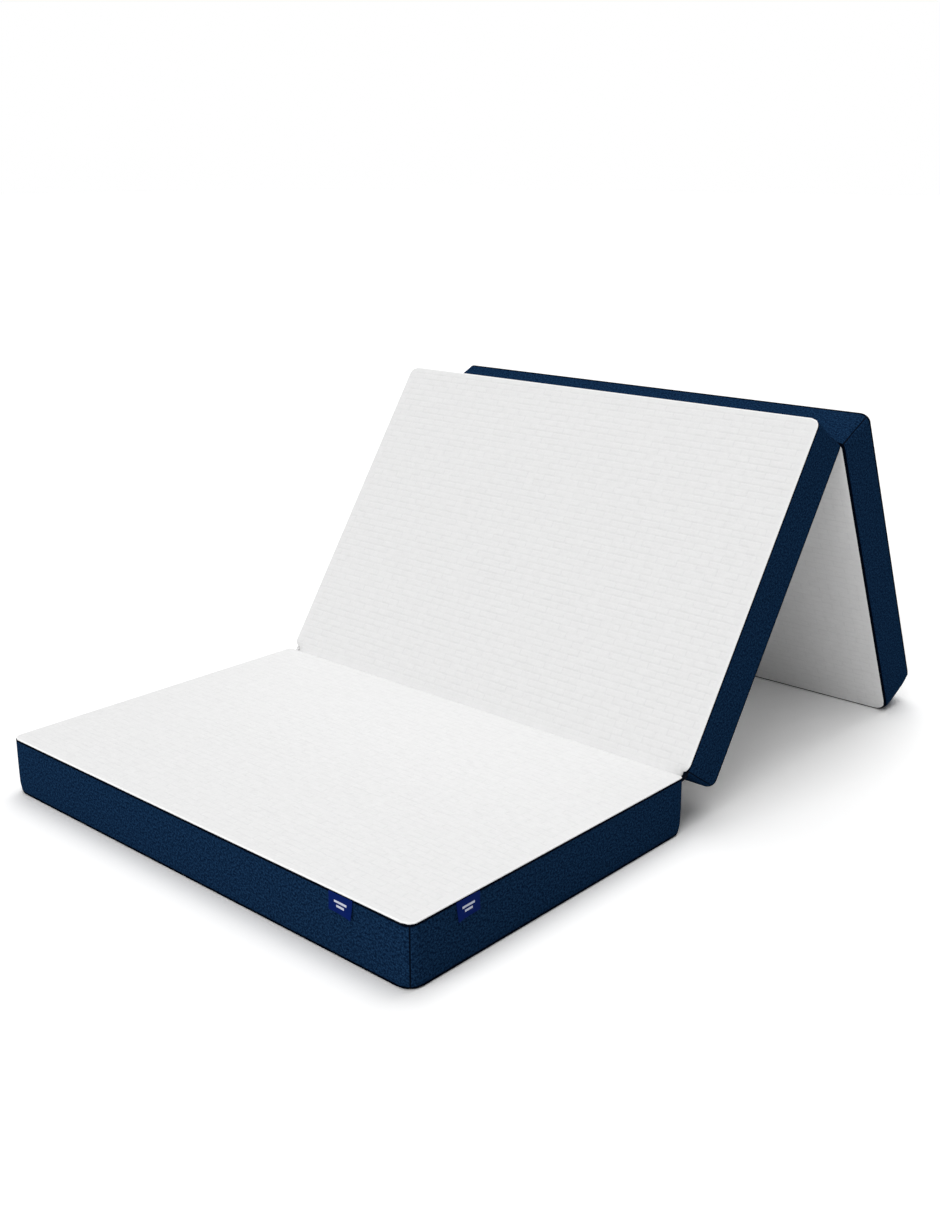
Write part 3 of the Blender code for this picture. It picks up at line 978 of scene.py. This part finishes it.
def makeTooth(name, way):
    deselectAll()
    bpy.ops.mesh.primitive_cube_add(size=1.0, scale=zipper["tooth"])
    piece = newPiece(name)
    bpy.ops.object.transform_apply(location=False, rotation=False, scale=True)
    choose(piece, "EDGE", lambda edge: True)
    bpy.ops.mesh.bevel(offset=zipper["toothBevel"], segments=1, affect="EDGES")
    bpy.ops.object.mode_set(mode="OBJECT")
    turned = Matrix.Rotation(radians(zipper["toothTurn"]) * way, 4, "Y")
    piece.data.transform(Matrix.Translation((0.0, 0.0, way * zipper["toothShift"])) @ turned)
    count = int((2 * leftHalf - 0.008) / zipper["pitch"])
    first = -count * zipper["pitch"] / 2 + (zipper["pitch"] / 2 if way > 0 else 0.0)
    repeatAlong(piece, zipper["pitch"], count, first)
    return piece


def makeStitchRow(name, height):
    deselectAll()
    bpy.ops.mesh.primitive_uv_sphere_add(segments=6, ring_count=5, radius=0.5)
    piece = newPiece(name)
    points = readPoints(piece)
    long = np.sign(points[:, 2]) * np.abs(points[:, 2] * 2) ** 0.6 / 2 * zipper["stitch"]
    arch = zipper["stitchArch"] * np.cos(long / zipper["stitch"] * pi)
    out, up = zipper["stitchWide"]
    writePoints(piece, np.stack([long, points[:, 0] * out + arch, points[:, 1] * up], 1))
    count = int((2 * leftHalf - 0.010) / zipper["stitchPitch"])
    repeatAlong(piece, zipper["stitchPitch"], count, -(count - 1) * zipper["stitchPitch"] / 2)
    points = readPoints(piece)
    points[:, 2] += height
    writePoints(piece, points)
    return piece


teeth = joinPieces("zip_coil", [makeTooth("upper_teeth", 1), makeTooth("lower_teeth", -1)])
layAlong(teeth)
smooth(teeth, 30.0)
paint(teeth, "coil")
threadPath = np.linspace(-leftHalf + zipper["threadEnd"], leftHalf - zipper["threadEnd"], 120)
threads = []
for height in (-zipper["threadOff"], zipper["threadOff"]):
    x, y = wallPlan("left", threadPath, -zipper["threadOut"])
    path = np.stack([x, y, np.full(len(x), zipLevel + height)], 1)
    threads.append(makeTube("coil_thread", path, zipper["thread"], 5, "thread"))
coilThread = joinPieces("zip_coil_threads", threads)
row = zipGap + zipper["stitchRow"]
stitchRows = [makeStitchRow("lower_row", -row), makeStitchRow("upper_row", row)]
topstitch = joinPieces("zip_topstitching", stitchRows)
layAlong(topstitch, -0.0002)
smooth(topstitch, 80.0)
paint(topstitch, "thread")
lowerTape, upperTape = makeZipTape("zip_lower_tape", -1), makeZipTape("zip_upper_tape", 1)
for section in sections:
    body = f"{section}_section"
    for tape, word in ((lowerTape, "lower"), (upperTape, "upper")):
        node, called = f"{section}_zip_{word}_tape", f"{section}_{word}_zip_tape"
        made = place(tape, section, node, body, called)
    place(teeth, section, f"{section}_zip_chain", body)
    place(coilThread, section, None, body)
    place(topstitch, section, None, body)
discard(lowerTape, upperTape, teeth, coilThread, topstitch)
print("zips sewn in")

slider = {"stations": ((-5.5, 3.7, 2.2), (-5.25, 4.2, 2.5), (-4.7, 4.45, 2.6), (-2.6, 4.45, 2.6),
                       (-1.0, 4.2, 2.6), (0.6, 3.75, 2.6), (2.2, 3.5, 2.6), (4.7, 3.45, 2.6),
                       (5.25, 3.3, 2.5), (5.5, 3.0, 2.2)),
          "pin": 0.55, "pinReach": 3.15, "pinOut": 3.8,
          "cheek": 2.2, "cheekIn": 2.1, "cheekOut": 2.7, "cheekThick": 0.9}


def makeSliderBody():
    # millimetres: along the chain, outwards, across it; the wide mouth looks to -x
    rings = []
    for along, wide, top in slider["stations"]:
        half = [(-0.5, 2.85), (-0.5, wide - 0.25), (-0.2, wide), (top - 0.9, wide), (top - 0.35, wide - 0.2),
                (top, wide - 0.8), (top, wide * 0.4)]
        ring = half + [(out, -across) for out, across in reversed(half)]
        ring += [(1.1, -2.85), (1.1, 2.85), (-0.5, 2.85)]
        rings.append([(along, out, across) for out, across in ring])
    columns, rows = len(rings) - 1, len(rings[0]) - 1
    piece = addGrid("slider_body", columns, rows)
    i, j = gridIndex(readPoints(piece), columns, rows)
    writePoints(piece, np.array(rings)[i, j] / 1000)
    mergeDoubles(piece, 0.000001)
    mouth = slider["stations"][-1][0] / 1000
    choose(piece, "EDGE", lambda edge: all(abs(abs(end.x) - mouth) < 1e-6 for end in edgeEnds(piece, edge)))
    bpy.ops.mesh.edge_face_add()
    bpy.ops.mesh.select_all(action="SELECT")
    bpy.ops.mesh.normals_make_consistent(inside=False)
    bpy.ops.object.mode_set(mode="OBJECT")
    return piece


def makeRod(name, radius, low, high, out, bevel):
    # a rounded rod across the chain, in millimetres
    deselectAll()
    bpy.ops.mesh.primitive_cylinder_add(vertices=20, radius=radius / 1000, depth=(high - low) / 1000,
                                        location=(0.0, out / 1000, (low + high) / 2000))
    piece = newPiece(name)
    bpy.ops.object.transform_apply(location=True, rotation=True, scale=True)
    choose(piece, "EDGE", lambda edge: edgeRise(piece, edge) < 1e-6)
    bpy.ops.mesh.bevel(offset=bevel / 1000, segments=2, affect="EDGES")
    bpy.ops.object.mode_set(mode="OBJECT")
    return piece


def makeSlider():
    pieces = [makeSliderBody()]
    for low in (slider["cheekIn"], -slider["cheekIn"] - slider["cheekThick"]):
        high = low + slider["cheekThick"]
        pieces.append(makeRod("cheek", slider["cheek"], low, high, slider["cheekOut"], 0.2))
    reach = slider["pinReach"]
    pieces.append(makeRod("pin", slider["pin"], -reach, reach, slider["pinOut"], 0.12))
    piece = joinPieces("zip_slider_casting", pieces)
    smooth(piece, 35.0)
    paint(piece, "metal")
    return piece


pull = {"outline": ((26.0, 0.0), (25.9, 0.9), (25.5, 1.9), (24.7, 2.8), (23.6, 3.35), (22.0, 3.5),
                    (19.0, 3.45), (16.0, 3.3), (13.0, 3.1), (10.6, 2.8), (8.8, 2.4), (7.2, 2.05),
                    (5.9, 1.85), (4.4, 1.8), (2.8, 1.8), (1.2, 1.8), (0.3, 1.75), (0.0, 0.9), (0.0, 0.0)),
        "slot": (16.8, 6.3, 1.5), "thick": 0.5, "barrel": 0.9, "barrelReach": 1.85}


def bulge(wave):
    return np.sign(wave) * np.abs(wave) ** 0.45


def makePull():
    # a drop of sheet metal with a slot, and the barrel that turns on the pin
    outline = np.array(pull["outline"])
    steps = len(outline) - 1
    outer = np.vstack([outline, outline[-2:0:-1] * (1, -1)])
    turn = np.arange(steps + 1) / steps * pi
    middle, half, wide = pull["slot"]
    inner = np.stack([middle + half * np.cos(turn), wide * np.sin(turn) ** 0.6], 1)
    inner = np.vstack([inner, inner[-2:0:-1] * (1, -1)])
    count = len(outer)
    deselectAll()
    bpy.ops.mesh.primitive_torus_add(major_segments=count, minor_segments=12, major_radius=1.0,
                                     minor_radius=0.25)
    piece = bpy.context.object
    points = readPoints(piece)
    k = np.rint(np.arctan2(points[:, 1], points[:, 0]) / (2 * pi) * count).astype(int) % count
    around = np.arctan2(points[:, 2], np.hypot(points[:, 0], points[:, 1]) - 1.0)
    share = (1 - bulge(np.cos(around))) / 2
    flat = outer[k] * (1 - share)[:, None] + inner[k] * share[:, None]
    out = slider["pinOut"] + pull["thick"] * bulge(np.sin(around))
    writePoints(piece, np.stack([flat[:, 0], out, flat[:, 1]], 1) / 1000)
    mergeDoubles(piece, 0.000001)
    reach = pull["barrelReach"]
    barrel = makeRod("barrel", pull["barrel"], -reach, reach, slider["pinOut"], 0.15)
    piece = joinPieces("zip_pull_drop", [piece, barrel])
    smooth(piece, 50.0)
    paint(piece, "metal")
    return piece


sliderTemplate, pullTemplate = makeSlider(), makePull()
for section in sections:
    # the mouth and the pull look to the end at which the zip is shut
    opening = Vector(joints[f"{section}_zip_slide"]["axis"])
    sign = 1.0 if opening.dot(places[section].col[1].xyz) < 0 else -1.0
    low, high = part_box(f"{section}_zip_slider")
    centre = places[section].inverted() @ ((low + high) / 2)
    for template, slot, flip in ((sliderTemplate, "zip_slider", -sign), (pullTemplate, "zip_pull", sign)):
        made = template.copy()
        made.data = template.data.copy()
        bpy.context.scene.collection.objects.link(made)
        made.name = made.data.name = f"{section}_{template.name}"
        points = readPoints(made)
        out, along, up = points[:, 1], flip * points[:, 0], points[:, 2]
        writePoints(made, np.stack([-width / 2 - out, centre.y + along, zipLevel + up], 1))
        mergeDoubles(made, 0.0000005)
        made.data.transform(places[section])
        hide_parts(f"{section}_{slot}")
        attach(made, f"{section}_{slot.replace('zip_', '')}")
discard(sliderTemplate, pullTemplate)
print("sliders on their chains")

# Where the sections are joined. Points of "near" and "far" are the distance from the fold axis and
# the rise over the section's top. "sink" says how far each half goes down at its ends, "follows"
# if it also goes down into the next section's dipped corners.

hinges = {
    "front": {"near": ((-0.0105, -0.0024), (-0.0088, -0.0030), (-0.0073, -0.0040), (-0.0061, -0.0054),
                       (-0.0052, -0.0068), (-0.0044, -0.0073)),
              "far": ((-0.0071, -0.0011), (-0.0060, -0.0009), (-0.0045, -0.0008), (-0.0030, -0.0007),
                      (-0.0015, -0.0006), (0.0, -0.0005), (0.0018, -0.0005), (0.0038, -0.0006),
                      (0.0060, -0.0008), (0.0082, -0.0013), (0.0100, -0.0024)),
              "thick": 0.0007, "cut": 0.0270, "narrow": 1.0, "widen": 1.0, "sink": (0.0038, 0.0085),
              "follows": True},
    "rear": {"near": ((-0.0080, 0.0008), (-0.0066, 0.0003), (-0.0050, 0.00015), (-0.0036, 0.00015),
                      (-0.0024, 0.0003), (-0.0013, 0.0006), (-0.0005, 0.0009)),
             "far": ((0.0, 0.0011), (0.0005, 0.0009), (0.0013, 0.0006), (0.0024, 0.0003),
                     (0.0036, 0.00015), (0.0050, 0.00015), (0.0066, 0.0003), (0.0080, 0.0008)),
             "thick": 0.0006, "cut": 0.0165, "narrow": 0.25, "widen": 0.0, "sink": (0.0, 0.0),
             "follows": False},
    "tack": {"near": ((-0.0060, -0.0112), (-0.0046, -0.0106), (-0.0030, -0.0102), (-0.0014, -0.0100)),
             "far": ((-0.0010, -0.0098), (0.0008, -0.0094), (0.0024, -0.0094), (0.0038, -0.0100)),
             "thick": 0.0040, "narrow": 0.9, "widen": 1.0, "sink": (0.0, 0.0), "follows": False},
    "reach": width / 2 - 0.009, "tackReach": width / 2 - 0.0038, "tackWide": 0.0075,
    "ripple": 0.00012, "wave": 0.013, "bend": 0.0018,
}


def makeHinge(name, axis, nearAlong, farAlong, settings, span, finish):
    # a strip of cloth from one section's edge, past the fold axis, to the next one's
    profile = []
    for along, points in ((nearAlong, settings["near"]), (farAlong, settings["far"])):
        profile += [(along * back, sideways.cross(along) * rise) for back, rise in points]
    middle = len(settings["near"])
    farUp = sideways.cross(farAlong)
    middleX, half = sum(span) / 2, (span[1] - span[0]) / 2
    rounding = min(0.007, half)
    ends = np.array((0.0, 0.17, 0.43, 0.75)) * rounding
    count = max(2, round(half / 0.0032))
    inner = np.linspace(-half + rounding, half - rounding, count)
    lines = np.concatenate([-half + ends, inner, half - ends[::-1]])
    columns, rows = len(lines) - 1, len(profile) - 1
    piece = addGrid(name, columns, rows)
    i, j = gridIndex(readPoints(piece), columns, rows)
    fromEnd = np.clip((half - np.abs(lines)) / rounding, 0.0, 1.0)
    narrow = settings["narrow"] + (1 - settings["narrow"]) * np.sqrt(1 - (1 - fromEnd) ** 2)
    # round a section's corner the strip reaches as far into it as along its straight edge
    overX = np.clip(np.abs(lines + middleX) - plan["straightX"], 0.0, plan["corner"])
    recess = settings["widen"] * (plan["corner"] - np.sqrt(plan["corner"] ** 2 - overX ** 2))
    isFar = np.arange(rows + 1) >= middle
    ownReach = np.where(isFar, settings["far"][-1][0], -settings["near"][0][0])
    stretch = narrow[i] + recess[i] / ownReach[j]
    alongs = np.array([tuple(along) for along, _ in profile])
    rises = np.array([tuple(rise) for _, rise in profile])
    ripples = hinges["ripple"] * np.sin(lines * 2 * pi / hinges["wave"] + 1.5 * np.sin(lines * 23))
    edge = np.abs(np.linspace(-1, 1, rows + 1)) ** 2
    points = alongs[j] * stretch[:, None] + rises[j] + Vector(axis)[:]
    points[:, 0] = middleX + lines[i]
    points[:, 2] += ripples[i] * (1 - edge[j])
    ups = np.array([tuple(farUp if far else sideways.cross(nearAlong)) for far in isFar])
    sinks = np.where(isFar, settings["sink"][1], settings["sink"][0])
    points -= ups[j] * (sinks[j] * (1 - fromEnd[i]) ** 2)[:, None]
    if settings["follows"]:
        onFar = np.array([along.dot(farAlong) for along, _ in profile])[j] * (j >= middle)
        fall = creaseShare(points[:, 0], np.maximum(onFar, 0.0), 0.0) * (j >= middle)
        points -= (endShapes["dip"] * fall)[:, None] * np.array(farUp)
    writePoints(piece, points)
    writeUv(piece, middleX + lines[i], (j - middle) * knit["stitch"])
    solidify(piece, settings["thick"], 0.0)
    smooth(piece, 70.0)
    paint(piece, finish)
    return piece


def bendAt(piece, axis, nearAlong, farAlong, bodies, slot):
    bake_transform(piece)


frontWay = Vector((0.0, 1.0, 0.0))
wholeSpan = (-hinges["reach"], hinges["reach"])
folded = (frontAxis, frontWay, middleAlong)
gusset = makeHinge("front_fold_gusset", *folded, hinges["front"], wholeSpan, "knit")
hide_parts("front_hinge_tape")
bendAt(gusset, *folded, ("front_section", "middle_section"), "white_knit")
for side, word, finish, slot in ((1, "right", "cord", "hinge_tape"), (-1, "left", "knit", "white_knit")):
    span = sorted((side * hinges["tackReach"], side * (hinges["tackReach"] - hinges["tackWide"])))
    tack = makeHinge(f"front_fold_tack_{word}", *folded, hinges["tack"], span, finish)
    bendAt(tack, *folded, ("front_section", "middle_section"), slot)
folded = (rearAxis, middleAlong, rearAlong)
rearTape = makeHinge("rear_fold_tape", *folded, hinges["rear"], wholeSpan, "hinge")
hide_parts("rear_hinge_tape")
bendAt(rearTape, *folded, ("middle_section", "rear_section"), "hinge_tape")
for strip, fold, rests in ((gusset, "front", "top_panel"), (rearTape, "rear", "bottom_panel")):
    cut = (2 * hinges["reach"], hinges[fold]["cut"])
print("folds joined")

# The two labels by the front corner

tag = {"ribbon": 0.00028, "columns": 24, "flare": 0.0042, "fold": 0.0009, "wave": 0.0003,
       "front": (0.0011, 0.0010), "frontRows": (0.0, 0.1, 0.22, 0.36, 0.5, 0.64, 0.78, 0.9, 0.97),
       "back": (0.0006, 0.0006), "backRows": (0.97, 0.85, 0.65, 0.45, 0.25, 0.05)}


def makeTag(name, node):
    # a ribbon folded at its foot, its ends in the top seam
    low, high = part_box(node)
    facing = sideways if low.x > width / 2 - 0.01 else Vector((0.0, -1.0, 0.0))
    side = Vector((-facing.y, facing.x, 0.0))
    towardsCorner = side.x - side.y
    centre = (low + high) / 2
    half = (high - low).dot(Vector((abs(side.x), abs(side.y), 0.0))) / 2
    drop = high.z - low.z
    face = width / 2 if facing.x > 0 else -lowFront.y
    # down the front, round the fold and up the back: how far out each row is, and how far down
    (frontOut, frontSwell), (backOut, backSwell) = tag["front"], tag["back"]
    rows = [(frontOut + frontSwell * share ** 2, share) for share in tag["frontRows"]]
    rows.append((frontOut + tag["fold"], 1.0))
    rows += [(backOut + backSwell * share ** 2, share) for share in tag["backRows"]]
    columns = tag["columns"]
    piece = addGrid(name, columns, len(rows) - 1)
    i, j = gridIndex(readPoints(piece), columns, len(rows) - 1)
    across = (i / columns * 2 - 1) * half
    out, fall = np.array(rows)[j].T
    lifted = np.clip(0.35 + 0.65 * across / half * towardsCorner, 0.0, 1.0) ** 2
    waves = tag["wave"] * np.sin(across * 90 + 1.0)
    out = out + tag["flare"] * lifted * fall ** 1.3 + waves * fall
    points = np.zeros((len(out), 3))
    for axis in range(3):
        points[:, axis] = side[axis] * (across + centre.dot(side)) + facing[axis] * (face + out)
    points[:, 2] = high.z - 0.0004 - fall * (drop - 0.0006)
    writePoints(piece, points)
    writeUv(piece, i / columns, fall)
    faceOut = Vector((0.0, 0.0, 0.0))
    for polygon in piece.data.polygons:
        if polygon.center.dot(facing) > face + 0.0009:
            faceOut += polygon.normal
    if faceOut.dot(facing) < 0:
        piece.data.flip_normals()
    solidify(piece, tag["ribbon"], -1.0)
    smooth(piece, 60.0)
    paint(piece, "label")
    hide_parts(node)
    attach(piece, "front_section")


makeTag("front_ribbon_tag", "front_tag")
makeTag("side_ribbon_tag", "side_tag")
print("labels hung")

# Floor, backdrop and light

studio = {"floor": 0.85, "seenFloor": 1.1475, "world": 0.119, "spread": 50.0,
          "suns": {"top light": (0.936, 85.0, 0.0), "back left light": (1.260, 62.0, 120.0),
                   "front light": (1.279, 32.0, -90.0), "low front fill": (0.289, 12.0, -60.0)}}


def addFloor():
    deselectAll()
    bpy.ops.mesh.primitive_plane_add(size=80.0, location=(0.0, 0.0, -0.0002))
    floor = bpy.context.object
    floor.name = "floor"
    material = bpy.data.materials.new("studio floor")
    material.use_nodes = True
    tree = material.node_tree
    tree.nodes.remove(tree.nodes["Principled BSDF"])
    path = tree.nodes.new("ShaderNodeLightPath")
    mix = tree.nodes.new("ShaderNodeMixShader")
    tree.links.new(path.outputs["Is Camera Ray"], mix.inputs[0])
    for socket, grey in ((1, studio["floor"]), (2, studio["seenFloor"])):
        matt = tree.nodes.new("ShaderNodeBsdfDiffuse")
        matt.inputs["Color"].default_value = (grey, grey, grey, 1.0)
        tree.links.new(matt.outputs[0], mix.inputs[socket])
    tree.links.new(mix.outputs[0], tree.nodes["Material Output"].inputs["Surface"])
    floor.data.materials.append(material)


def addWorld():
    world = bpy.data.worlds.new("studio")
    bpy.context.scene.world = world
    world.use_nodes = True
    tree = world.node_tree
    background = tree.nodes["Background"]
    path = tree.nodes.new("ShaderNodeLightPath")
    seen = path.outputs["Is Camera Ray"]
    # camera, glossy and transmitted rays see it white, the others dimmed
    for ray in ("Is Glossy Ray", "Is Transmission Ray"):
        either = tree.nodes.new("ShaderNodeMath")
        either.operation = "MAXIMUM"
        tree.links.new(seen, either.inputs[0])
        tree.links.new(path.outputs[ray], either.inputs[1])
        seen = either.outputs[0]
    strength = tree.nodes.new("ShaderNodeMapRange")
    strength.inputs["To Min"].default_value = studio["world"]
    strength.inputs["To Max"].default_value = 1.0
    tree.links.new(seen, strength.inputs["Value"])
    background.inputs["Color"].default_value = (1.0, 1.0, 1.0, 1.0)
    tree.links.new(strength.outputs["Result"], background.inputs["Strength"])


def addSun(name, strength, elevation, azimuth):
    # a wide soft sun, so that the floor is lit evenly to the horizon
    rise, turn = radians(elevation), radians(azimuth)
    source = Vector((cos(rise) * cos(turn), cos(rise) * sin(turn), sin(rise)))
    deselectAll()
    bpy.ops.object.light_add(type="SUN", location=source * 4)
    lamp = bpy.context.object
    lamp.name = name
    lamp.data.energy = strength
    lamp.data.angle = radians(studio["spread"])
    lamp.rotation_euler = source.to_track_quat("Z", "Y").to_euler()


addFloor()
addWorld()
for lampName, lampSettings in studio["suns"].items():
    addSun(lampName, *lampSettings)
bpy.context.scene.view_settings.view_transform = "Standard"
print("studio lit")
